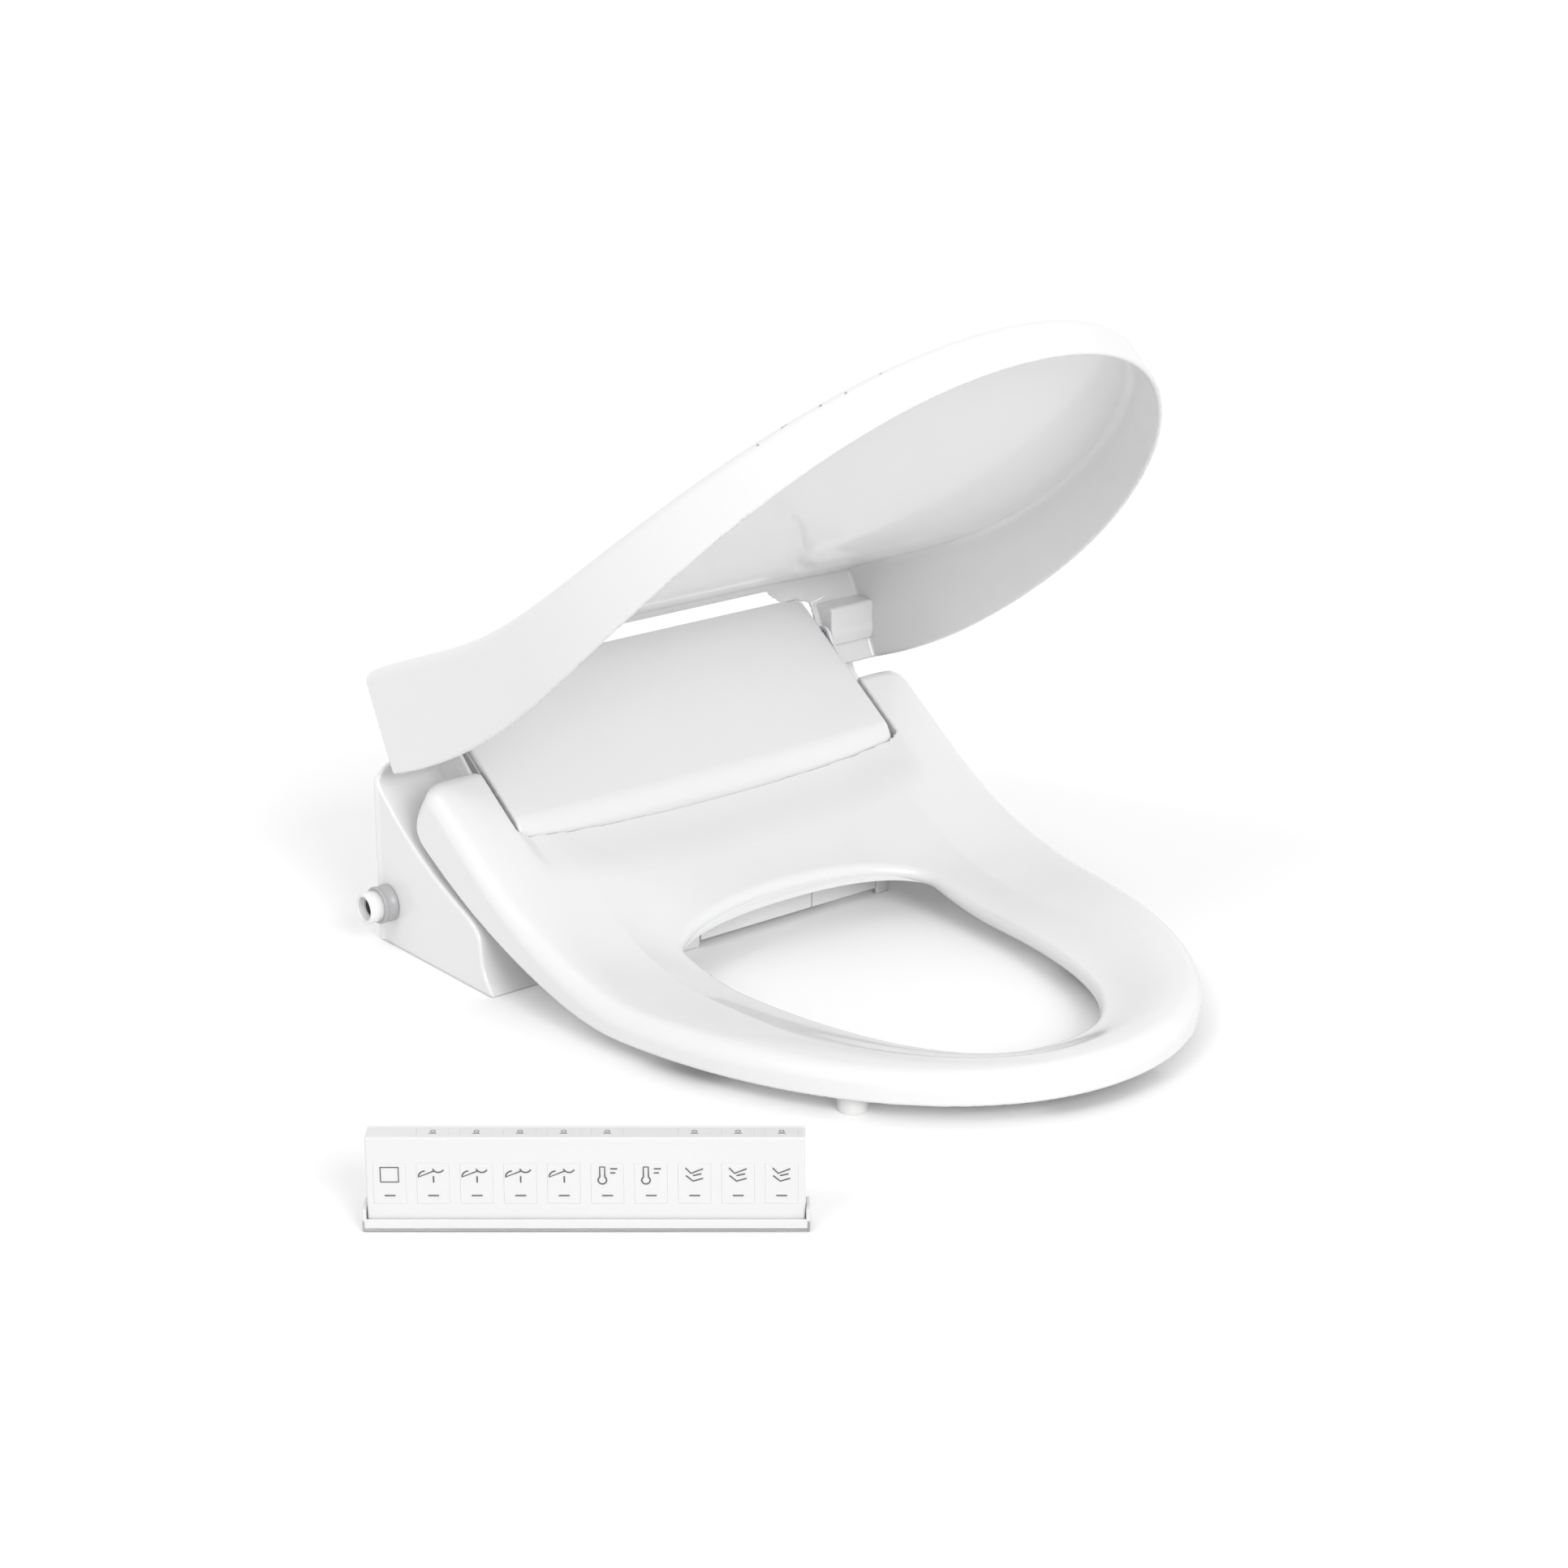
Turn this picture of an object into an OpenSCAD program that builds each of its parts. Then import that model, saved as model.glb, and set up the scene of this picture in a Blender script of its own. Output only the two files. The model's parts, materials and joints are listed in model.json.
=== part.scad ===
// Electric bidet seat with a separate remote control in its holder.
// Frame: X to the right, +Y to the rear, +Z up, z = 0 is the bowl rim and the shelf under the remote.
// The origin is midway between the two fixing slots. The lid is drawn part open.

/* [Seat] */
// Half of the greatest width of the seat ring
seat_half_w = 192.5; // [186:0.5:194]
// Length of the ring in front of its widest line
seat_front = 275; // [262:1:277]
// Y of the widest line of the ring
ring_y = -150; // [-156:1:-146]
// Height of the flat part of the ring
seat_top_z = 31; // [29:0.5:33]
// Thickness of the ring
seat_thick = 20; // [18:0.5:22]
// Half width of the opening
hole_half_w = 100; // [92:1:104]
// Length of the opening in front of the widest line
hole_front = 222; // [210:1:226]
// Length of the opening behind the widest line
hole_rear = 26; // [20:1:32]
// Wall of the seat mouldings
seat_wall = 3; // [2.5:0.1:3.5]

/* [Lid] */
// Half width of the lid
lid_half_w = 200; // [199.5:0.5:204]
// Length of the lid in front of the widest line
lid_front = 278; // [277:1:284]
// Wall of the lid
lid_wall = 3; // [2.5:0.1:3.5]
// Angle by which the lid is drawn open
lid_open = 49; // [40:1:55]

/* [Housing] */
// Half width of the housing
house_half_w = 195.5; // [194:0.5:196]
// Rear face of the housing
house_rear = 48; // [47:0.5:52]
// Half width of the centre block
block_half_w = 151; // [149:0.5:151]
// Height of the lower edge of the sloping top cover
cover_low_z = 92; // [90:0.5:92]
// Y of the lower edge of the sloping top cover
cover_low_y = -48; // [-48:0.5:-46]
// Wall of the housing
house_wall = 3; // [2.5:0.1:3.2]
// Y of the hinge axis
hinge_y = 30; // [28:0.5:31]
// Height of the hinge axis
hinge_z = 138.5; // [137.5:0.5:139]

/* [Fixing] */
// Distance between the two fixing slots
slot_spacing = 140; // [130:1:150]
// Length of each slot
slot_len = 34; // [26:1:40]
// Width of each slot
slot_w = 11; // [9:0.5:12]

/* [Nozzles] */
// Outer diameter of a wash nozzle
nozzle_d = 11; // [10:0.5:11.5]
// Slope of the nozzles below the horizontal
nozzle_slope = 35; // [33:1:36]

/* [Remote] */
// Length of the remote
remote_w = 228; // [222:1:230]
// Height of the remote
remote_h = 50; // [46:1:52]
// Thickness of the remote
remote_t = 15; // [14:0.5:16]
// Turn of the remote about Z
remote_turn = -39; // [-45:1:-33]
// Number of keys in the front row
front_keys = 10; // [10]
// Number of keys in the top row
top_keys = 8; // [8]

/* [Hidden] */
$fn = 48;
cover_rise = 0.706;                       // slope of the top cover
seat_gap = 3;                             // seat ears to block
seat_bottom_drop = seat_thick;
arc_y0 = cover_low_y - 162;               // where the ring starts to rise
arc_y1 = cover_low_y - 12;                // where the rise becomes straight
ear_rear = 9;                            // lower rear corner of an ear
ear_top = [-10.5, 119.8];                // upper rear edge of an ear
ear_half_w = 194.5;
ear_in = block_half_w + seat_gap;
floor_gap = 3;
tray_top = 16;
shaft_r = 4;
shaft_fit = 0.06;
arm_x = ear_in + 0.5;
arm_w = 4;
boss_x = arm_x + arm_w + 1.5;
boss_r = 12;
nose_y = -92;                             // front face of the nozzle nose
nose_half_w = 112;
lid_in = lid_half_w - lid_wall;
lid_cut_w = boss_x;
flap_x0 = -46;
flap_x1 = 44;
duct_x1 = 100;
fan_x = 76;
nozzle_len = 98;
nozzle_xs = [-14, 14];
nozzle_dir = [0, -cos(nozzle_slope), -sin(nozzle_slope)];
nozzle_tip = [0, nose_y + 27, 14];
holder_from = 34;                         // distance of the holder's front from the nozzle tip
key_pitch = 22.6;
key_w = 17;
key_travel = 0.8;
inlet_y = 36;
inlet_z = 28.5;
remote_at = [-331.5, -364.5, 0];
cradle_floor = 3;
cradle_lip = 7;
clip_top = 13;
remote_gap = 0.4;

white = [0.95, 0.95, 0.95];
off_white = [0.9, 0.9, 0.9];
grey = [0.55, 0.56, 0.58];
dark = [0.2, 0.21, 0.22];

// ---------- curves ----------

// Points of a cubic curve from a to d with handles b and c
function cubic(a, b, c, d, n) =
    [for (i = [0:n]) let (t = i / n, s = 1 - t)
        s * s * s * a + 3 * s * s * t * b + 3 * s * t * t * c + t * t * t * d];

// Half of an oval round the front of the widest line, from +X round to -X
function front_oval(w, f, power, n) =
    [for (i = [0:n]) let (t = 180 * i / n)
        [sign(cos(t)) * w * pow(abs(cos(t)), 2 / power),
         ring_y - f * pow(abs(sin(t)), 2 / power)]];

// Half of an oval round the rear of the widest line, from -X round to +X
function rear_oval(w, f, power, n) =
    [for (i = [1:n - 1]) let (t = 180 + 180 * i / n)
        [sign(cos(t)) * w * pow(abs(cos(t)), 2 / power),
         ring_y + f * pow(abs(sin(t)), 2 / power)]];

// Height of the seat's upper surface at y
function seat_z(y) =
    y < arc_y0 ? seat_top_z
    : y < arc_y1 ? seat_top_z + cover_rise * (y - arc_y0) * (y - arc_y0) / (2 * (arc_y1 - arc_y0))
    : seat_top_z + cover_rise * (arc_y1 - arc_y0) / 2 + cover_rise * (y - arc_y1);

function cover_z(y) = cover_low_z + cover_rise * (y - cover_low_y);

// Turns a YZ profile into a bar along X from x0 to x1
module along_x(x0, x1) {
    translate([x0, 0, 0]) rotate([90, 0, 90]) linear_extrude(x1 - x0) children();
}

// Turns an XZ outline into a slab along Y from y0 to y1
module along_y(y0, y1) {
    translate([0, y1, 0]) rotate([90, 0, 0]) linear_extrude(y1 - y0) children();
}

module both_sides() {
    children();
    mirror([1, 0, 0]) children();
}

module x_rod(r, x0, x1, y, z) {
    translate([x0, y, z]) rotate([0, 90, 0]) cylinder(r = r, h = x1 - x0);
}

module box(low, high) {
    translate(low) cube(high - low);
}

// ---------- housing ----------

wing_line = concat([[-76, 0], [-67, 6]],
    cubic([-65, 14], [-65, 34], [-57, 42], [-36, 45.5], 6),
    cubic([-30, 46.5], [-10, 50], [12, 68], [house_rear - 3, 99], 7));

module wing_profile(inset) {
    polygon(concat(
        [for (p = wing_line) [min(p[0] + inset, house_rear - inset), p[1] - inset * (p[1] > 20 ? 1.1 : 0)]],
        inset == 0 ? [[house_rear, 99]] : [],
        [[house_rear - inset, -1], [-76 + inset, -1]]));
}

block_line = [[nose_y, 0], [nose_y, 26], [-80, 34], [-58, 50], [-47, 58],
    [-47, cover_low_z - 7], [house_rear, cover_z(house_rear) - 4]];

module block_profile(inset) {
    polygon([[nose_y + inset, -1], [nose_y + inset, 26 - inset / 2], [-80, 34 - inset * 1.1],
        [-58, 50 - inset * 1.1], [-47 + inset, 58 - inset / 2], [-47 + inset, cover_low_z - 7],
        [house_rear - inset, cover_z(house_rear) - 4 + (inset > 0 ? 1 : 0)],
        [house_rear - inset, -1]]);
}

module rear_outline() {
    r = 16;
    polygon(concat(
        [[house_half_w, 0]],
        [for (a = [0:15:90]) [house_half_w - r + r * cos(a), 102 + r * sin(a)]],
        [for (a = [90:15:180]) [-house_half_w + r + r * cos(a), 102 + r * sin(a)]],
        [[-house_half_w, 0]]));
}

module housing_shell() {
    color(white) difference() {
        union() {
            along_x(-house_half_w, house_half_w) wing_profile(0);
            along_x(-block_half_w, block_half_w)
                polygon([[-60, 40], [-47, 58], [-47, cover_low_z - 7],
                    [house_rear, cover_z(house_rear) - 4], [house_rear, 40]]);
            along_x(-nose_half_w, nose_half_w)
                polygon([[nose_y, 0], [nose_y, 26], [-80, 34], [-58, 50], [-40, 50], [-40, 0]]);
            along_y(house_rear - 3, house_rear) rear_outline();
        }
        box([-500, -500, -5], [500, 500, 0]);
        along_x(-house_half_w + house_wall, house_half_w - house_wall) wing_profile(house_wall);
        along_x(-block_half_w + house_wall, block_half_w - house_wall)
            polygon([[-58, 38], [-44, 56], [-44, cover_low_z],
                [house_rear - 3, cover_z(house_rear)], [house_rear - 3, 38]]);
        along_x(-nose_half_w + house_wall, nose_half_w - house_wall)
            polygon([[nose_y + 3, -1], [nose_y + 3, 24.5], [-80, 30.8], [-58, 46.6], [-40, 47],
                [-40, -1]]);
        // windows for the nozzle flap and the dryer flap
        box([flap_x0, nose_y - 1, -1], [flap_x1, nose_y + 4, 21]);
        box([flap_x1 + 3, nose_y - 1, -1], [duct_x1, nose_y + 4, 21]);
        // holes for the shafts, the inlet, the button, the odour filter and the cord gland
        both_sides() x_rod(shaft_r, block_half_w - 4, block_half_w + 1, hinge_y, hinge_z);
        x_rod(7.1, -house_half_w - 1, -house_half_w + 4, inlet_y, inlet_z);
        x_rod(8, house_half_w - 4, house_half_w + 1, -40, 20);
        box([house_half_w - 4, -12, 10], [house_half_w + 1, 22, 46]);
        translate([150, house_rear + 1, 24]) rotate([90, 0, 0]) cylinder(r = 6.1, h = 5);
    }
}

module top_cover() {
    lip = 7;
    // a rounded lip, the sloping face and a turned down rear edge
    outer = concat(
        [[cover_low_y, cover_low_z - 6]],
        [for (a = [180:-18:126]) [cover_low_y + lip + lip * cos(a), cover_z(cover_low_y) - 1 + lip * sin(a)]],
        [[cover_low_y + 10, cover_z(cover_low_y + 10)], [house_rear - 1.5, cover_z(house_rear - 1.5)],
         [house_rear, cover_z(house_rear) - 1.8]]);
    color(white) difference() {
        along_x(-block_half_w, block_half_w)
            polygon(concat(outer, [[house_rear, cover_z(house_rear) - 4 + 0.01],
                [-47, cover_low_z - 7 + 0.01], [-47.5, cover_low_z - 7 + 0.01]]));
        both_sides() x_rod(shaft_r + 0.3, block_half_w - 4, block_half_w + 1, hinge_y, hinge_z);
    }
}

module base_tray() {
    // closes the underside: a raised pocket holds the mounting plate and the bolt heads
    color(off_white) difference() {
        union() {
            box([-191, -60, 0.6], [191, 44, 3.6]);
            box([-108, -35, 0.6], [108, 35, tray_top + 8]);
        }
        box([-105, -70, 0], [105, 32, tray_top + 5]);
        box([flap_x0 + 2, -70, 0], [flap_x1 - 2, -46, 30]);
        for (x = [-150, 150], y = [-40, 36]) translate([x, y, 0]) cylinder(r = 1.6, h = 10);
    }
}

module mounting_plate() {
    color(grey) difference() {
        union() {
            box([-102, -28, 0], [102, 28, 4]);
            for (x = [-96, 90]) box([x, -28, 4], [x + 6, 28, 8]);
        }
        for (s = [-1, 1]) translate([s * slot_spacing / 2, 0, -1]) {
            for (e = [-1, 1]) translate([e * (slot_len - slot_w) / 2, 0, 0])
                cylinder(r = slot_w / 2, h = 6);
            translate([-(slot_len - slot_w) / 2, -slot_w / 2, 0])
                cube([slot_len - slot_w, slot_w, 6]);
        }
    }
}

module release_button() {
    // sprung button that frees the seat from its mounting plate
    color(off_white) union() {
        x_rod(7.6, house_half_w - 6, house_half_w + 3, -40, 20);
        x_rod(4, house_half_w - 40, house_half_w - 6, -40, 20);
    }
}

module water_inlet() {
    color(white) difference() {
        union() {
            x_rod(12, -house_half_w - 11, -house_half_w, inlet_y, inlet_z);
            x_rod(10, -house_half_w - 22, -house_half_w - 11, inlet_y, inlet_z);
            x_rod(7, -house_half_w, -house_half_w + 22, inlet_y, inlet_z);
        }
        x_rod(7.5, -house_half_w - 23, -house_half_w - 4, inlet_y, inlet_z);
        x_rod(4, -house_half_w - 5, -house_half_w + 23, inlet_y, inlet_z);
    }
}

module inlet_filter() {
    color(grey) difference() {
        x_rod(7.4, -house_half_w - 14, -house_half_w - 4, inlet_y, inlet_z);
        x_rod(5.8, -house_half_w - 15, -house_half_w - 6, inlet_y, inlet_z);
    }
}

module inlet_valve() {
    color(dark) union() {
        box([-173.5, 20, 10], [-148, 42, 40]);
        translate([-160, 31, 40]) cylinder(r = 9, h = 20);
    }
}

module water_heater() {
    color(grey) union() {
        box([-140, -30, 38], [-62, 36, 80]);
        for (y = [-16, 20]) x_rod(5, -62, -52, y, 60);
    }
}

module diverter_valve() {
    color(dark) union() {
        x_rod(14, -44, -30, -8, 80);
        x_rod(10, -50, -44, -8, 80);
    }
}

// Places its children along a nozzle's axis, with the tip at the origin and the body along +Z
module on_nozzle(x) {
    translate([x, nozzle_tip[1], nozzle_tip[2]]) rotate([-(90 - nozzle_slope), 0, 0]) children();
}

module nozzle_holder() {
    color(off_white) difference() {
        translate([-25, nozzle_tip[1], nozzle_tip[2]]) rotate([-(90 - nozzle_slope), 0, 0])
            translate([0, -9, holder_from]) cube([50, 18, 50]);
        for (x = nozzle_xs) on_nozzle(x) translate([0, 0, holder_from - 1])
            cylinder(r = nozzle_d / 2 + 0.06, h = 60);
    }
}

module nozzle_motors() {
    color(dark) union() {
        for (s = [-1, 1]) x_rod(10, s > 0 ? 26 : -38, s > 0 ? 38 : -26, -2, 52);
    }
}

module nozzle(x) {
    on_nozzle(x) union() {
        translate([0, 0, 2]) cylinder(r = nozzle_d / 2, h = nozzle_len - 2);
        cylinder(r = nozzle_d / 2 - 1.5, h = 2);
        translate([0, -nozzle_d / 2 + 0.5, 9]) rotate([90, 0, 0]) cylinder(r = 2, h = 0.7);
    }
}

module rear_nozzle() { color(off_white) nozzle(nozzle_xs[0]); }
module front_nozzle() { color(off_white) nozzle(nozzle_xs[1]); }

module hanging_flap(x0, x1) {
    difference() {
        union() {
            box([x0 + 0.5, nose_y + 0.3, 4.5], [x1 - 0.5, nose_y + 2.3, 18]);
            x_rod(1.6, x0 + 0.5, x1 - 0.5, nose_y + 2, 18.5);
        }
        box([x0 - 5, nose_y - 5, 3], [x0, nose_y - 4, 4]);
    }
}

module nozzle_flap() { color(white) hanging_flap(flap_x0, flap_x1); }
module dryer_flap() { color(white) hanging_flap(flap_x1 + 3, duct_x1); }

module dryer_housing() {
    color(grey) difference() {
        union() {
            x_rod(31, fan_x, fan_x + 30, 0, 78);
            box([fan_x, -31, 52], [fan_x + 30, 0, 78]);
        }
        x_rod(28, fan_x + 2, fan_x + 28, 0, 78);
        x_rod(14, fan_x + 27, fan_x + 31, 0, 78);
        box([fan_x + 2, -32, 54], [fan_x + 28, -10, 76]);
    }
}

module dryer_impeller() {
    color(dark) union() {
        x_rod(7, fan_x + 4, fan_x + 26, 0, 78);
        for (k = [0:8]) translate([fan_x + 4, 0, 78]) rotate([40 * k, 0, 0]) translate([0, 6, -0.8])
            cube([22, 18, 1.6]);
    }
}

module dryer_duct() {
    // air way from the fan down to the flap at the nose
    color(off_white) difference() {
        along_x(64, 107) polygon([[nose_y + 5, 5], [nose_y + 5, 22], [-60, 40], [-34, 53],
            [-31.2, 77.5], [-31.2, 51], [-44, 26], [-58, 5]]);
        along_x(66, 105) polygon([[nose_y + 4, 7], [nose_y + 4, 20], [-59, 38], [-33, 51],
            [-30, 52], [-45, 28], [-59, 7]]);
    }
}

module deodoriser_tray() {
    color(off_white) difference() {
        union() {
            box([house_half_w - 3, -11.6, 10.4], [house_half_w + 1.5, 21.6, 45.6]);
            box([house_half_w - 60, -10, 12], [house_half_w - 3, 20, 44]);
        }
        box([house_half_w - 57, -7, 15], [house_half_w - 10, 17, 45]);
        box([house_half_w + 0.3, -2, 24], [house_half_w + 2, 12, 32]);
    }
}

module control_board() {
    color("seagreen") union() {
        box([-132, -34, 86], [-60, 10, 87.6]);
        for (x = [-126:18:-72]) box([x, -26, 87.6], [x + 10, -12, 91]);
    }
}

module power_board() {
    color("seagreen") union() {
        box([111, -24, 8], [132, 38, 9.6]);
        box([113, 10, 9.6], [130, 34, 28]);
        translate([121, -8, 9.6]) cylinder(r = 7, h = 18);
    }
}

module cord_gland() {
    color(dark) translate([150, house_rear, 24]) rotate([90, 0, 0]) difference() {
        union() {
            translate([0, 0, -6]) cylinder(r = 9, h = 6);
            cylinder(r = 6, h = 12);
        }
        translate([0, 0, -7]) cylinder(r = 3.5, h = 22);
    }
}

module hinge_dampers() {
    color(dark) both_sides() x_rod(6, block_half_w - 50, block_half_w - 4, hinge_y, hinge_z - 5);
}

module hinge_shafts() {
    color(grey) both_sides() x_rod(shaft_r, block_half_w - 3, 190, hinge_y, hinge_z);
}

module case_screws() {
    color(grey) for (x = [-150, 150], y = [-40, 36]) translate([x, y, 0]) union() {
        translate([0, 0, 0.1]) cylinder(r = 3, h = 0.5);
        cylinder(r = 1.6, h = 9);
    }
}

// ---------- seat ----------

// Plan of the ring and its two ears; inset moves every edge inwards
module seat_plan(inset) {
    w = seat_half_w - inset;
    e = ear_half_w - inset;
    n = ear_in + inset;
    r = ear_rear - inset;
    polygon(concat(
        front_oval(w, seat_front - inset, 2.05, 48),
        [[-w, -110], [-e, -60], [-e, r - 10], [-e + 3, r - 3], [-e + 10, r], [-n, r],
         [-n, cover_low_y - 2 - inset],
         [n, cover_low_y - 2 - inset], [n, r], [e - 10, r], [e - 3, r - 3], [e, r - 10],
         [e, -60], [w, -110]]));
}

module seat_hole(grow) {
    polygon(concat(front_oval(hole_half_w + grow, hole_front + grow, 2.4, 40),
        rear_oval(hole_half_w + grow, hole_rear + grow, 2.2, 32)));
}

// Side view of the seat between two depths below its upper surface
module seat_band(from, to) {
    ys = concat([-480], [for (i = [0:10]) arc_y0 + (arc_y1 - arc_y0) * i / 10], [20]);
    intersection() {
        along_x(-250, 250) polygon(concat(
            [for (y = ys) [y, seat_z(y) - from]],
            [for (i = [len(ys) - 1:-1:0]) [ys[i], seat_z(ys[i]) - to]]));
        ear_end();
    }
}

// Everything in front of the ears' sloping rear faces
module ear_end() {
    along_x(-260, 260) polygon([[-500, -20], [-500, 160], [ear_top[0] - 28, ear_top[1] + 40],
        [ear_top[0] + 56, ear_top[1] - 80], [ear_top[0] + 56, -20]]);
}

// Deeper side walls below the raised rear of the seat
module seat_skirt() {
    ys = [for (i = [0:10]) arc_y0 + (arc_y1 - arc_y0) * i / 10];
    low = cubic([-6, 78], [-35, 52], [-120, 11], [-200, 11], 12);
    difference() {
        intersection() {
            linear_extrude(200) difference() {
                seat_plan(0);
                seat_plan(seat_wall);
            }
            along_x(-250, 250) polygon(concat([for (y = ys) [y, seat_z(y) - 1]],
                [[20, seat_z(20) - 1], [20, 104], [10, 94]], low));
            ear_end();
        }
        box([-ear_in + 0.1, -300, 0], [ear_in - 0.1, 100, 200]);
    }
}

module seat_shell() {
    color(white) {
        seat_skirt();
        seat_skin();
    }
}

module seat_skin() {
    difference() {
        intersection() {
            linear_extrude(200) difference() {
                seat_plan(0);
                seat_hole(0);
            }
            seat_band(0, seat_thick);
        }
        intersection() {
            linear_extrude(200) difference() {
                seat_plan(seat_wall);
                seat_hole(seat_wall);
            }
            seat_band(seat_wall, seat_thick + 5);
        }
    }
}

module seat_base() {
    color(off_white) intersection() {
        linear_extrude(200) difference() {
            seat_plan(seat_wall + 0.2);
            seat_hole(seat_wall + 0.2);
        }
        seat_band(seat_thick - 3, seat_thick);
    }
}

module seat_heater() {
    color("goldenrod") intersection() {
        linear_extrude(200) difference() {
            seat_plan(12);
            seat_hole(12);
        }
        seat_band(seat_thick - 4.6, seat_thick - 3.8);
        box([-300, -500, 0], [300, cover_low_y - 20, 300]);
    }
}

module seat_arms() {
    color(off_white) both_sides() difference() {
        union() {
            along_x(arm_x, arm_x + arm_w) polygon([[ear_top[0] + 5.5, ear_top[1] - 7.8],
                [hinge_y - 6.5, hinge_z + 4.5], [hinge_y + 6, hinge_z - 5.2],
                [ear_top[0] + 16, ear_top[1] - 22.8]]);
            x_rod(8, arm_x, arm_x + arm_w, hinge_y, hinge_z);
        }
        x_rod(shaft_r + shaft_fit, arm_x - 1, arm_x + arm_w + 1, hinge_y, hinge_z);
    }
}

module seat_bumpers() {
    color([0.8, 0.8, 0.8]) both_sides() {
        for (p = [[126, -336], [146, -120]])
            translate([p[0], p[1], 0])
                cylinder(r = 9, h = seat_z(p[1]) - seat_thick - (p[1] > arc_y0 ? 4 : 0));
    }
}

// ---------- lid ----------

rim_line = cubic([hinge_y + 12, 120], [-129.5, 18.3], [-355, 37.8], [-440, 34], 16);
top_line = cubic([hinge_y - 13, 181], [-96, 129.9], [-111, 82.4], [-440, 61], 20);

module lid_plan(inset) {
    w = lid_half_w - inset;
    polygon(concat(front_oval(w, lid_front - inset, 2.05, 48), [[-w, 60], [w, 60]]));
}

// Closed pose, side view
module lid_side() {
    polygon(concat(top_line, [for (i = [len(rim_line) - 1:-1:0]) rim_line[i]]));
}

module lid_tilt() {
    translate([0, hinge_y, hinge_z]) rotate([-lid_open, 0, 0]) translate([0, -hinge_y, -hinge_z])
        children();
}

module lid_shell() {
    color(white) lid_tilt() difference() {
        intersection() {
            linear_extrude(220) lid_plan(0);
            along_x(-250, 250) lid_side();
        }
        // hollow, open below, with a thin rear wall
        intersection() {
            linear_extrude(220) lid_plan(lid_wall);
            along_x(-250, 250) polygon(concat(
                [for (p = top_line) [p[0] - lid_wall, p[1] - lid_wall * 1.7]],
                [[-450, 50], [-450, 0], [60, 0], [hinge_y + 8.5, 120]]));
        }
        // the rear wall stops clear of the centre block as the lid turns
        along_y(hinge_y - 13, hinge_y + 30) polygon([[-lid_cut_w, 60], [lid_cut_w, 60],
            [lid_cut_w, hinge_z + 22], [lid_cut_w - 14, hinge_z + 28], [-lid_cut_w + 14, hinge_z + 28],
            [-lid_cut_w, hinge_z + 22]]);
        both_sides() x_rod(boss_r + 0.1, boss_x, lid_in, hinge_y, hinge_z);
    }
}

module lid_bosses() {
    color(white) lid_tilt() both_sides() difference() {
        x_rod(boss_r, boss_x, lid_in - 0.02, hinge_y, hinge_z);
        x_rod(shaft_r + shaft_fit, boss_x - 1, 190.5, hinge_y, hinge_z);
    }
}

// ---------- remote ----------

module at_remote() {
    translate(remote_at) rotate([0, 0, remote_turn]) children();
}

module remote_cradle() {
    color(white) at_remote() difference() {
        union() {
            box([-remote_w / 2 - 2.5, 0, 0], [remote_w / 2 + 2.5, 21, cradle_floor]);
            box([-remote_w / 2 - 2.5, 0, 0], [remote_w / 2 + 2.5, 2, cradle_lip]);
            box([-remote_w / 2 - 2.5, 18, 0], [remote_w / 2 + 2.5, 21, 7]);
            for (s = [-1, 1]) {
                box([s * 61 - 11, 18, 0], [s * 61 + 11, 21, 40]);
                box([s > 0 ? remote_w / 2 + 0.4 : -remote_w / 2 - 2.5, 0, 0],
                    [s > 0 ? remote_w / 2 + 2.5 : -remote_w / 2 - 0.4, 16, clip_top]);
            }
        }
        for (x = [-61, 61]) translate([x, 30, 30]) rotate([90, 0, 0]) cylinder(r = 2.2, h = 20);
    }
}

module remote_case() {
    color(white) at_remote() difference() {
        box([-remote_w / 2, case_y, case_z], [remote_w / 2, back_y, case_z + remote_h]);
        box([-remote_w / 2 + 2, case_y + 2.5, case_z + 2],
            [remote_w / 2 - 2, back_y + 1, case_z + remote_h - 3]);
        for (k = [0:front_keys - 1]) translate([key_x(k), 0, front_key_z])
            translate([-key_w / 2 - 0.3, 0, -9.3]) cube([key_w + 0.6, case_y + 4, 18.6]);
        for (k = [0:top_keys - 1]) translate([top_key_x(k), 9, case_z + remote_h - 4])
            translate([-key_w / 2 - 0.3, -4.3, 0]) cube([key_w + 0.6, 8.6, 6]);
    }
}

function key_x(k) = (k - (front_keys - 1) / 2) * key_pitch;
function top_key_x(k) = key_x(k < 5 ? k + 1 : k + 2);
front_key_z = cradle_floor + 32;
case_y = 2.4;
back_y = case_y + remote_t - 2;
case_z = cradle_floor + 0.1;

module remote_back() {
    color(off_white) at_remote() difference() {
        box([-remote_w / 2, back_y, case_z], [remote_w / 2, back_y + 2, case_z + remote_h]);
        box([-48, back_y - 1, case_z + 5.4], [48, back_y + 3, case_z + 18]);
    }
}

module battery_door() {
    color(off_white) at_remote()
        box([-47.8, back_y + 0.2, case_z + 5.6], [47.8, back_y + 1.9, case_z + 17.8]);
}

module batteries() {
    color(dark) at_remote() for (x = [-46, 1]) x_rod(5.1, x, x + 44.5, back_y - 5.4, case_z + 11.5);
}

module remote_board() {
    color("seagreen") at_remote() box([-104, 9, case_z + 19], [104, 10.2, case_z + 43]);
}

module front_key(k) {
    color(white) at_remote() translate([key_x(k), 0, front_key_z])
        translate([-key_w / 2, case_y - 0.5, -9]) cube([key_w, 5, 18]);
}

module top_key(k) {
    color(white) at_remote() translate([top_key_x(k), 9, case_z + remote_h])
        translate([-key_w / 2, -4, -3.6]) cube([key_w, 8, 4]);
}

// ---------- output ----------

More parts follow.
